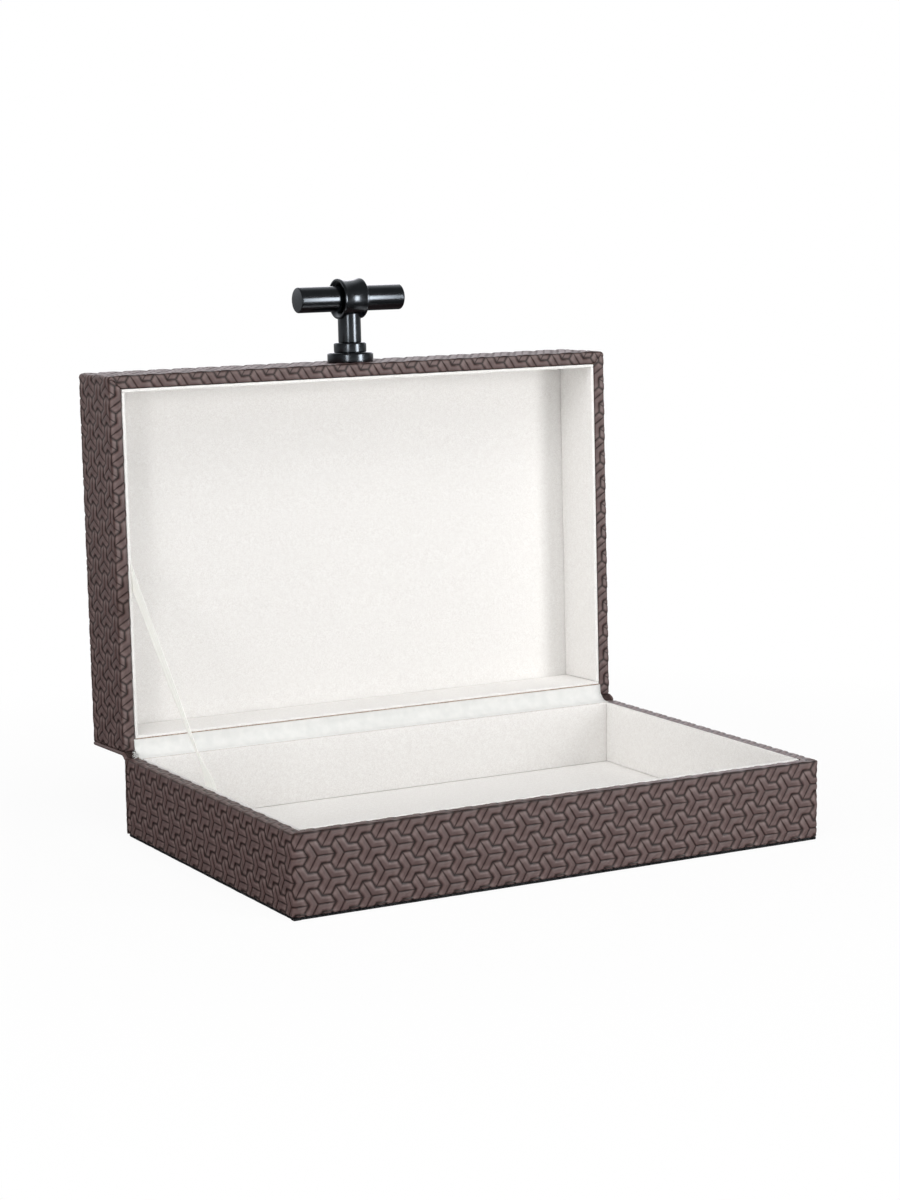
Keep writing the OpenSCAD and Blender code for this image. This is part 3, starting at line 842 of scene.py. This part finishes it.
def cardPiece(name, low, high, axis, facing, edge, body, opened, seed):
    # a grid over the card's face, rolled over its four edges and carried down to the back; a sum
    # of two slow waves bows it
    low, high = np.array(low, float), np.array(high, float)
    across = [i for i in range(3) if i != axis]
    r = cards["round"]
    thick = high[axis] - low[axis]
    rollAngles = np.linspace(0, math.pi / 2, 5)
    lines = []
    for i in across:
        a, b = low[i] + cards["seam"] / 2, high[i] - cards["seam"] / 2
        inner = np.linspace(a + r, b - r, max(3, int((b - a) / 5)))
        roll = r * np.sin(rollAngles[1:])
        drop = r * (1 - np.cos(rollAngles[1:]))
        coreTop = thick - cards["core"]
        lines.append((np.concatenate([[a, a], (a + r - roll)[::-1], inner, b - r + roll, [b, b]]),
                      np.concatenate([[thick, coreTop], drop[::-1], 0 * inner, drop, [coreTop, thick]])))
    (p, dropP), (q, dropQ) = lines
    gp, gq = np.meshgrid(p, q)
    drop = np.maximum(*np.meshgrid(dropP, dropQ))
    rng = np.random.default_rng(seed)
    spanP, spanQ = p[-1] - p[0], q[-1] - q[0]
    s, t = (gp - p[0]) / spanP, (gq - q[0]) / spanQ
    fromEdge = np.minimum(np.minimum(s, 1 - s) * spanP, np.minimum(t, 1 - t) * spanQ)
    fade = np.clip(fromEdge / cards["calm"], 0, 1)
    wave = cards["wave"] * fade * (np.sin(2 * math.pi * (s * 1.3 + rng.random()))
                                   * np.sin(2 * math.pi * (t * 1.1 + rng.random())) - 0.6)
    level = thick - drop + np.where(drop < 1e-9, wave, 0)
    points = np.zeros(gp.shape + (3,))
    points[..., across[0]], points[..., across[1]] = gp, gq
    points[..., axis] = low[axis] + level if facing > 0 else high[axis] - level
    index = np.arange(gp.size).reshape(gp.shape)
    quads = gridFaces(index)
    raw = level.ravel()[quads].min(1) < cards["core"] - 1e-6
    bottom = gridBorder(index)
    flipped = (axis == 1) != (facing < 0)
    if flipped:
        quads = quads[:, ::-1]
    points = points.reshape(-1, 3)
    # the back is a fan round one middle point
    middle = points[bottom].mean(0)
    points = np.vstack([points, middle])
    fan = np.stack([np.roll(bottom, -1), bottom, np.full(len(bottom), len(points) - 1)], -1)
    if flipped:
        fan = fan[:, ::-1]
    faces = np.concatenate([splitFaces(quads), fan])
    raw = np.concatenate([raw, raw, np.ones(len(fan), bool)])
    # points that fall together in the corners are joined, and the flat faces there left out
    points, same = np.unique(np.round(points, 6), axis=0, return_inverse=True)
    faces = same.ravel()[faces]
    sound = (faces != np.roll(faces, 1, 1)).all(1)
    faces, raw = faces[sound], raw[sound]
    return makePiece(name, opened(points), faces, [lining, edge], body=body, slot="flocked_lining",
                     replaces=[name.replace("_card", "_lining")], faceMaterial=raw)


# which way each card's flocked face points, as (axis, sign)
cardFaces = {"floor": (2, 1), "top": (2, -1), "front": (1, 1), "back": (1, -1),
             "left": (0, 1), "right": (0, -1)}
for body, opened in (("base", stay), ("lid", openLid)):
    for seed, (part, (axis, facing)) in enumerate(cardFaces.items()):
        node = f"{body}_{part}_lining"
        if node in nodes:
            low, high = nodeBox(node, body == "lid")
            # the cards along the hinge are cut last and show their core, the others are flocked round
            edge = cardCore if part in ("back", "floor") else lining
            cardPiece(f"{body}_{part}_card", low, high, axis, facing, edge, body, opened, seed + 10)
print("case: linings made")


# Cloth: hinge tape and ribbon

def sheetPiece(name, places, normals, half, thick, material, slot, replaces, lengthwise):
    # a strip given by its middle surface, (n, m, 3), with half its thickness laid off along the
    # normals to each side; its edges are closed
    n, m = places.shape[:2]
    points = np.concatenate([(places + side * normals * thick / 2).reshape(-1, 3) for side in (1, -1)])
    index = np.arange(n * m).reshape(n, m)
    face = gridFaces(index)
    under = face[:, ::-1] + n * m
    ring = gridBorder(index)
    edge = np.stack([np.roll(ring, -1), ring, ring + n * m, np.roll(ring, -1) + n * m], -1)
    s, t = np.meshgrid(np.linspace(-half, half, m) * mm, lengthwise * mm)
    uv = np.stack([s.ravel(), t.ravel()], -1)
    return makePiece(name, points, np.concatenate([face, under, edge]), [material], slot=slot,
                     replaces=replaces, uv=np.concatenate([uv, uv]))


tape = {
    "thick": 0.4,
    "cove": 5.4,              # radius of the free part's hollow
    "bend": 0.35,             # radius where it turns onto each rim
    "wave": 0.3,              # how unevenly the free part lies
    "over": 0.7,              # how far it reaches past the CAD strip at each end
    "raised": 0.12,           # how far it stands off the rims
}


def hingeTape():
    # a rounded line (back, up) carried along the hinge; its free part is pushed out by two slow
    # waves times a bell curve of the distance from the fold
    leafLow, leafHigh = nodeBox("hinge_cloth_base_leaf")
    lidLeafHigh = nodeBox("hinge_cloth_lid_leaf", True)[1]
    half = leafHigh[0] + tape["over"]
    middleY = (leafLow[1] + leafHigh[1]) / 2
    level = rimZ - tape["thick"] / 2 + tape["raised"]
    lidLevel = lidRimZ + tape["thick"] / 2 - tape["raised"]
    corner = openedPoint(middleY, lidLevel)
    meet = np.array([corner[0] - 0.2, level])
    profile = [(middleY, leafLow[2]), (middleY, level), meet, corner,
               openedPoint(middleY, lidLeafHigh[2])]
    path = roundedPath(profile, (tape["bend"], tape["cove"], tape["bend"]), 10)
    length = pathLength(path)
    v = np.linspace(0, length, 150)
    at, _, lean = alongPath(path, v)
    u = np.linspace(-half, half, 90)
    line = np.stack([0 * v, at[:, 0], at[:, 1]], -1)
    normals = -np.stack([0 * v, lean[:, 0], lean[:, 1]], -1)
    free = np.exp(-((at[:, 0] - meet[0] + 1.5) ** 2 + (at[:, 1] - level - 1.5) ** 2) / 5)
    ripple = tape["wave"] * (0.5 + 0.25 * np.sin(u / 9 + 1) + 0.25 * np.sin(u / 23))
    normals = np.repeat(normals[:, None], len(u), 1)
    places = line[:, None] + (free[:, None] * ripple)[..., None] * normals
    places[..., 0] = u
    piece = sheetPiece("hinge_cloth", places, normals, half, tape["thick"], cotton, "hinge_cloth",
                       ["hinge_cloth_base_leaf", "hinge_cloth_fold", "hinge_cloth_lid_leaf"], v)
    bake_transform(piece)


hingeTape()

threads = {
    "count": 30, "radius": 0.13, "seed": 7,
    "long": (1.0, 3.4),       # shortest and longest
    "behind": 1.5,            # mm they keep in front of the spine, which closes on them with the lid
    "pressed": 0.22,          # share of their height that is left when the lid is shut on them
}


def frayedThreads():
    # loose threads at the cut left end of the hinge cloth: each is a thin tube along a straight
    # line with a droop that grows with the square of the way along it
    count, rings, sides = threads["count"], 9, 5
    rng = np.random.default_rng(threads["seed"])
    start = np.stack([np.full(count, nodeBox("hinge_cloth_base_leaf")[0][0] - 0.4),
                      rng.uniform(82.0, 84.5, count), rimZ + rng.uniform(0.35, 2.2, count)], -1)
    way = np.stack([-np.ones(count), rng.normal(-0.1, 0.45, count), rng.normal(0.1, 0.4, count)], -1)
    way *= rng.uniform(*threads["long"], count)[:, None] / np.linalg.norm(way, axis=1)[:, None]
    bend = rng.normal(0, 0.7, (count, 3)) * [0.2, 1, 1]
    t = np.linspace(0, 1, rings)[None, :, None]
    line = start[:, None] + way[:, None] * t + bend[:, None] * t ** 2
    line[..., 1] = np.minimum(line[..., 1], backY - threads["behind"])
    line[..., 2] = np.maximum(line[..., 2], rimZ + 0.2)
    angle = np.linspace(0, 2 * math.pi, sides, endpoint=False)
    radius = threads["radius"] * np.append(np.append(0, np.ones(rings - 2)), 0)[None, :, None]
    points = np.stack([line[..., :1] + 0 * angle, line[..., 1:2] + radius * np.cos(angle),
                       line[..., 2:] + radius * np.sin(angle)], -1)
    index = np.arange(count * rings * sides).reshape(count, rings, sides)
    points = points.reshape(-1, 3)
    piece = makePiece("hinge_threads", points, gridFaces(index, True)[:, ::-1], [cotton], body="base",
                      slot="hinge_cloth", uv=points[:, :2] * mm)
    sealPoles(piece)
    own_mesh(piece)


frayedThreads()

ribbon = {
    "thick": 0.25,
    "width": 10.0,
    # how far the ribbon is turned about its length, in degrees, at shares of its free run
    "turns": ((0.0, 0), (0.11, -1), (0.15, -13), (0.21, -23), (0.28, -20.5), (0.35, -18), (0.43, -14),
              (0.51, -12), (0.66, -10.4), (0.74, -9), (0.82, -9.5), (1.0, -2)),
    "curl": 0.4,              # how far it is rolled across its width, in radians
    "lift": 0.8,              # mm it stands off the straight line between its ends
    "baseBack": 4.2,          # how far behind the CAD ribbon it is glued to the base, as photographed
}


def ribbonStay():
    # a straight line lifted by a power of a sine; across it lies an arc, half the width over the curl
    # in radius, which is turned about the line by the listed angles, smoothed
    low, high = nodeBox("ribbon_stay")
    width = ribbon["width"]
    ends = np.array([[low[1], low[2]], [high[1], high[2]]])
    start = ends[0] + [ribbon["baseBack"], 0]
    run = ends[1] - start
    slope = run / np.linalg.norm(run)
    start, finish = start + slope * width / 2 * 0.98, ends[1] - slope * width / 2 * 0.98
    n, m = 160, 15
    t = np.linspace(0, 1, n)
    length = np.linalg.norm(finish - start)
    acrossDir = np.array([0, -slope[1], slope[0]])
    out = np.array([1.0, 0, 0])
    glued = high[0] - ribbon["thick"] / 2
    share, degrees = np.array(ribbon["turns"]).T
    turn = np.radians(np.interp(t, share, degrees))
    for _ in range(6):
        turn[1:-1] = (turn[:-2] + 2 * turn[1:-1] + turn[2:]) / 4
    bulge = np.sin(math.pi * np.clip((t - 0.1) / 0.8, 0, 1)) ** 1.5
    line = np.stack([glued + ribbon["lift"] * bulge, start[0] + t * length * slope[0],
                     start[1] + t * length * slope[1]], -1)
    s = np.linspace(-width / 2, width / 2, m)
    curlR = width / 2 / np.maximum(ribbon["curl"] * bulge, 0.02)
    flat = curlR[:, None] * np.sin(s[None] / curlR[:, None])
    deep = curlR[:, None] * (1 - np.cos(s[None] / curlR[:, None]))
    side = acrossDir[None] * np.cos(turn)[:, None] + out[None] * np.sin(turn)[:, None]
    face = -acrossDir[None] * np.sin(turn)[:, None] + out[None] * np.cos(turn)[:, None]
    places = line[:, None] + side[:, None] * flat[..., None] - face[:, None] * deep[..., None]
    lean = s[None] / curlR[:, None]
    normals = face[:, None] * np.cos(lean)[..., None] + side[:, None] * np.sin(lean)[..., None]
    piece = sheetPiece("ribbon", places, -normals, width / 2, ribbon["thick"], satin, "satin_ribbon",
                       ["ribbon_stay"], t * length)
    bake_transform(piece)


ribbonStay()
print("case: cloth made")


# Felt under the base

pad = {
    "around": 900,            # points round the edge
    "ragged": 0.12,           # mm that the cut edge strays
    "seed": 4,
}


def feltPad():
    # rings of (height, outwards) round the pad, closed below and above by a fan; the cut edge strays
    # by a running mean of random steps
    low, high = nodeBox("underside_felt")
    rng = np.random.default_rng(pad["seed"])
    halfX, halfY = (high[:2] - low[:2]) / 2
    around = pad["around"]
    corners = [(-halfX, -halfY), (halfX, -halfY), (halfX, halfY), (-halfX, halfY), (-halfX, -halfY)]
    along = np.linspace(0, pathLength(np.array(corners)), around, endpoint=False)
    at, _, normal = alongPath(roundedPath(corners, (1, 1, 1)), along)
    ragged = np.convolve(rng.normal(0, pad["ragged"], around + 4), np.ones(5) / 5, "valid")
    points = []
    for z, out in ((0.0, -3.0), (0.0, -0.3), (0.25, 0.0), (0.9, 0.0), (high[2], -0.2), (high[2], -3.0)):
        offset = out + (ragged if abs(out) < 1 else 0 * ragged)
        points.append(np.column_stack([at + normal * offset[:, None], np.full(around, z)]))
    index = np.arange(len(points) * around).reshape(-1, around)
    points = np.vstack(points + [[[0, 0, 0], [0, 0, high[2]]]])
    nextOne = np.roll(index, -1, 1)
    below = np.stack([nextOne[0], index[0], np.full(around, len(points) - 2)], -1)
    above = np.stack([index[-1], nextOne[-1], np.full(around, len(points) - 1)], -1)
    faces = np.concatenate([splitFaces(gridFaces(index, True)), below, above])
    makePiece("felt_pad", points, faces, [felt], body="base", slot="felt", replaces=["underside_felt"])


feltPad()


# Pull: turned parts on the lid's front wall

pull = {
    # diameters, with the lengths along the axis
    "bar": 12.0, "barLong": 54.0,
    "barEdge": 0.7,           # radius of its ends' edges
    "reach": 29.5,            # from the lid's front to the middle of the bar
    "ring": 18.9, "ringWide": 12.4,
    "waist": 17.1,            # the ring at its narrowest
    "ringLip": 1.0,
    "dish": 1.6,              # how far the ring's faces are dished toward the bar
    "post": 10.8,
    "collar": 15.3, "collarHigh": 4.6,
    "rose": 21.6, "roseHigh": 4.5,
    "around": 96,             # points round each turned part
}


def turned(name, profile, radii, axis, node):
    # turns a rounded profile of (distance along the axis, radius) once round; axis is "out" from
    # the lid's front or "across" along the cross bar
    path = roundedPath(profile, radii, 6)
    angle = np.linspace(0, 2 * math.pi, pull["around"], endpoint=False)
    along, radius = path[:, 0], np.maximum(path[:, 1], 0)
    c, s = np.cos(angle), np.sin(angle)
    ones = np.ones_like(c)
    low, high = nodeBox("handle_bar", True)
    pullZ = (low[2] + high[2]) / 2
    if axis == "out":
        x, y, z = radius[:, None] * c, -along[:, None] * ones, radius[:, None] * s
        points = np.stack([x, y + frontY, z + pullZ], -1)
    else:
        x, y, z = along[:, None] * ones, -radius[:, None] * c, -radius[:, None] * s
        points = np.stack([x, y + frontY - pull["reach"], z + pullZ], -1)
    faces = gridFaces(np.arange(points[..., 0].size).reshape(points.shape[:2]), True)
    sealPoles(makePiece(name, openLid(points.reshape(-1, 3)), faces, [blackMetal], body="lid",
                        slot="black_metal", replaces=[node]))


def pullParts():
    p = pull
    foot = p["roseHigh"] + p["collarHigh"]
    half = p["barLong"] / 2
    # name, from, to, diameter, the radii of its two edges, axis
    for name, start, end, wide, radii, axis in (
            ("rose", 0, p["roseHigh"], p["rose"], (0.2, 1.1), "out"),
            ("collar", p["roseHigh"], foot, p["collar"], (0.35, 0.9), "out"),
            ("post", foot, p["reach"] - p["waist"] / 2 + 1.5, p["post"], (0.3, 0.1), "out"),
            ("bar", -half, half, p["bar"], (p["barEdge"], p["barEdge"]), "across")):
        turned("pull_" + name, [(start, 0), (start, wide / 2), (end, wide / 2), (end, 0)],
               radii, axis, "handle_" + name)
    # the ring's waist is an arc between its two lips, and each face is dished toward the bar
    wide = p["ringWide"] / 2
    chord = wide - p["ringLip"]
    deep = (p["ring"] - p["waist"]) / 2
    arcR = (chord ** 2 + deep ** 2) / (2 * deep)
    t = np.linspace(-chord, chord, 25)
    waist = p["waist"] / 2 + arcR - np.sqrt(arcR ** 2 - t ** 2)
    hole = p["bar"] / 2 + 0.04
    lip = p["ring"] / 2
    outline = [(-wide + p["dish"], hole), (-wide, lip - p["ringLip"]), (-wide, lip)]
    outline += list(zip(t, waist)) + [(wide, lip), (wide, lip - p["ringLip"]), (wide - p["dish"], hole)]
    outline.append(outline[0])
    radii = [0.25, 0.4] + [0.02] * len(t) + [0.4, 0.25, 0.02]
    turned("pull_ring", outline, radii, "across", "handle_ring")


pullParts()
print("case: pull made")


# Plain finishes of the pieces that stay as they are
finishes = {"board": (board, "boards"), "screw": (steel, "plain_steel"),
            "washer": (steel, "plain_steel"), "stud": (steel, "plain_steel")}
for name, node in nodes.items():
    for word, (material, slotName) in finishes.items():
        if name.endswith(word):
            node.data.materials.clear()
            node.data.materials.append(material)


# Stage, light and camera

studio = {
    "floorGlow": 0.93,        # share of the floor's white near the case that is shown whatever the light
    "fill": 0.1,              # even light from all round
    "dark": 0.12,             # black flags round the camera, seen only in glossy surfaces
    "flagged": 20,            # degrees to the right of straight back that the white backdrop faces
}
lamps = {
    "key": {"azimuth": -50, "elevation": 40, "size": (0.7, 0.7), "watts": 6.4, "mirrored": False},
    "front": {"azimuth": 0, "elevation": 30, "size": (0.7, 0.7), "watts": 2.2, "mirrored": False},
    "top": {"azimuth": -5, "elevation": 70, "size": (1.2, 0.8), "watts": 9.5, "mirrored": False},
    "side": {"azimuth": -85, "elevation": 20, "size": (0.7, 0.7), "watts": 7.6, "mirrored": False},
    "strip": {"azimuth": 29, "elevation": 8.6, "size": (0.26, 0.5), "watts": 4.6, "far": 1.0},
    "post": {"azimuth": -45, "elevation": 8, "size": (0.22, 0.6), "watts": 3.4},
    "back": {"azimuth": 151, "elevation": 18, "size": (1.6, 0.8), "watts": 6.0,
             "colour": (0.97, 0.92, 1.0)},
}
white = (1, 1, 1, 1)


def makeFloor():
    size, z = 30.0, -0.0002
    mesh = bpy.data.meshes.new("floor")
    mesh.from_pydata([(-size, -size, z), (size, -size, z), (size, size, z), (-size, size, z)], [],
                     [(0, 1, 2, 3)])
    floor = bpy.data.objects.new("floor", mesh)
    bpy.context.scene.collection.objects.link(floor)
    material, tree, place = newMaterial("paperFloor")
    path = addNode(tree, "LightPath")
    seen = addNode(tree, "Math", {0: (path, "Is Camera Ray"), 1: (path, "Is Transmission Ray")},
                   operation="MAXIMUM")
    far = (addNode(tree, "VectorMath", {0: place}, operation="LENGTH"), "Value")
    glow = addNode(tree, "MapRange", {"Value": far, "From Min": 0.2, "From Max": 0.45,
                                      "To Min": studio["floorGlow"], "To Max": 1.0})
    share = addNode(tree, "Math", {0: seen, 1: glow}, operation="MULTIPLY")
    paper = addNode(tree, "BsdfDiffuse", {"Color": hexColour("#fafafa")})
    lit = addNode(tree, "Emission", {"Color": white, "Strength": 1.0})
    mixed = addNode(tree, "MixShader", {0: share, 1: paper, 2: lit})
    # glossy surfaces see the near paper dark and the far paper white, as under a shaded table
    mirrored = addNode(tree, "MapRange", {"Value": far, "From Min": 0.3, "From Max": 1.2,
                                          "To Min": 0.06, "To Max": 0.3},
                       interpolation_type="SMOOTHSTEP")
    glossy = addNode(tree, "Emission", {"Color": white, "Strength": mirrored})
    mixed = addNode(tree, "MixShader", {0: (path, "Is Glossy Ray"), 1: mixed, 2: glossy})
    addNode(tree, "OutputMaterial", {"Surface": mixed})
    mesh.materials.append(material)


def makeWorld():
    # the camera sees white; glossy surfaces see a white backdrop behind the case and black flags
    # on the camera's side; the rest is an even fill
    world = bpy.data.worlds.new("studio")
    world.use_nodes = True
    tree = world.node_tree
    tree.nodes.clear()
    path = addNode(tree, "LightPath")
    seen = addNode(tree, "Math", {0: (path, "Is Camera Ray"), 1: (path, "Is Transmission Ray")},
                   operation="MAXIMUM")
    way = (addNode(tree, "TexCoord"), "Generated")
    turn = math.radians(studio["flagged"])
    back = (addNode(tree, "VectorMath", {0: way, 1: (math.sin(turn), math.cos(turn), 0.0)},
                    operation="DOT_PRODUCT"), "Value")
    drop = addNode(tree, "MapRange", {"Value": back, "From Min": 0.1, "From Max": 0.9,
                                      "To Min": studio["dark"], "To Max": 1.0},
                   interpolation_type="SMOOTHSTEP")
    fill, mirrored, shown = (addNode(tree, "Background", {"Color": white, "Strength": strength})
                             for strength in (studio["fill"], drop, 1.0))
    mixed = addNode(tree, "MixShader", {0: (path, "Is Glossy Ray"), 1: fill, 2: mirrored})
    mixed = addNode(tree, "MixShader", {0: seen, 1: mixed, 2: shown})
    addNode(tree, "OutputWorld", {"Surface": mixed})
    bpy.context.scene.world = world


def pointAt(thing, target):
    # turns a lamp at its place toward the target
    thing.rotation_mode = "QUATERNION"
    thing.rotation_quaternion = (Vector(target) - thing.location).to_track_quat("-Z", "Y")


def makeLamp(name, azimuth, elevation, size, watts, far=1.7, mirrored=True, colour=(1, 1, 1)):
    # azimuth is to the right of the front of the case, as seen from the front; a lamp that isn't
    # mirrored gives no highlights
    lamp = bpy.data.lights.new(name, "AREA")
    lamp.shape = "RECTANGLE"
    lamp.size, lamp.size_y = size
    lamp.energy = watts
    lamp.color = colour
    thing = bpy.data.objects.new(name, lamp)
    bpy.context.scene.collection.objects.link(thing)
    a, e = math.radians(azimuth), math.radians(elevation)
    thing.location = (far * math.sin(a) * math.cos(e), -far * math.cos(a) * math.cos(e),
                      far * math.sin(e) + 0.1)
    thing.visible_glossy = mirrored
    thing.visible_camera = False
    pointAt(thing, (0, 0, 0.1))


camera = {
    # fitted to the edges of the case in the photograph
    "azimuth": 29.278, "elevation": 8.924, "roll": -0.661,
    "place": (-0.60648, -1.06590, 0.30053),
    "focal": 2805.65,         # in pixels of a picture as tall as the next
    "tall": 1200,
}


def makeCamera():
    # looks along y, turned right by the azimuth, down by the elevation and about itself by the roll
    data = bpy.data.cameras.new("camera")
    data.sensor_fit = "AUTO"
    data.sensor_width = 36.0
    data.lens = camera["focal"] / camera["tall"] * data.sensor_width
    data.clip_start, data.clip_end = 0.05, 100
    thing = bpy.data.objects.new("camera", data)
    bpy.context.scene.collection.objects.link(thing)
    a, e, roll = (math.radians(camera[k]) for k in ("azimuth", "elevation", "roll"))
    forward = Vector((math.sin(a) * math.cos(e), math.cos(a) * math.cos(e), -math.sin(e)))
    right = forward.cross(Vector((0, 0, 1))).normalized()
    up = right.cross(forward)
    rolledRight = right * math.cos(roll) + up * math.sin(roll)
    rolledUp = up * math.cos(roll) - right * math.sin(roll)
    turn = Matrix((rolledRight, rolledUp, -forward)).transposed()
    thing.matrix_world = Matrix.Translation(camera["place"]) @ turn.to_4x4()
    bpy.context.scene.camera = thing


makeFloor()
makeWorld()
for name, settings in lamps.items():
    makeLamp(name, **settings)
makeCamera()
bpy.context.scene.view_settings.view_transform = "Standard"
print("case: stage, light and camera made")
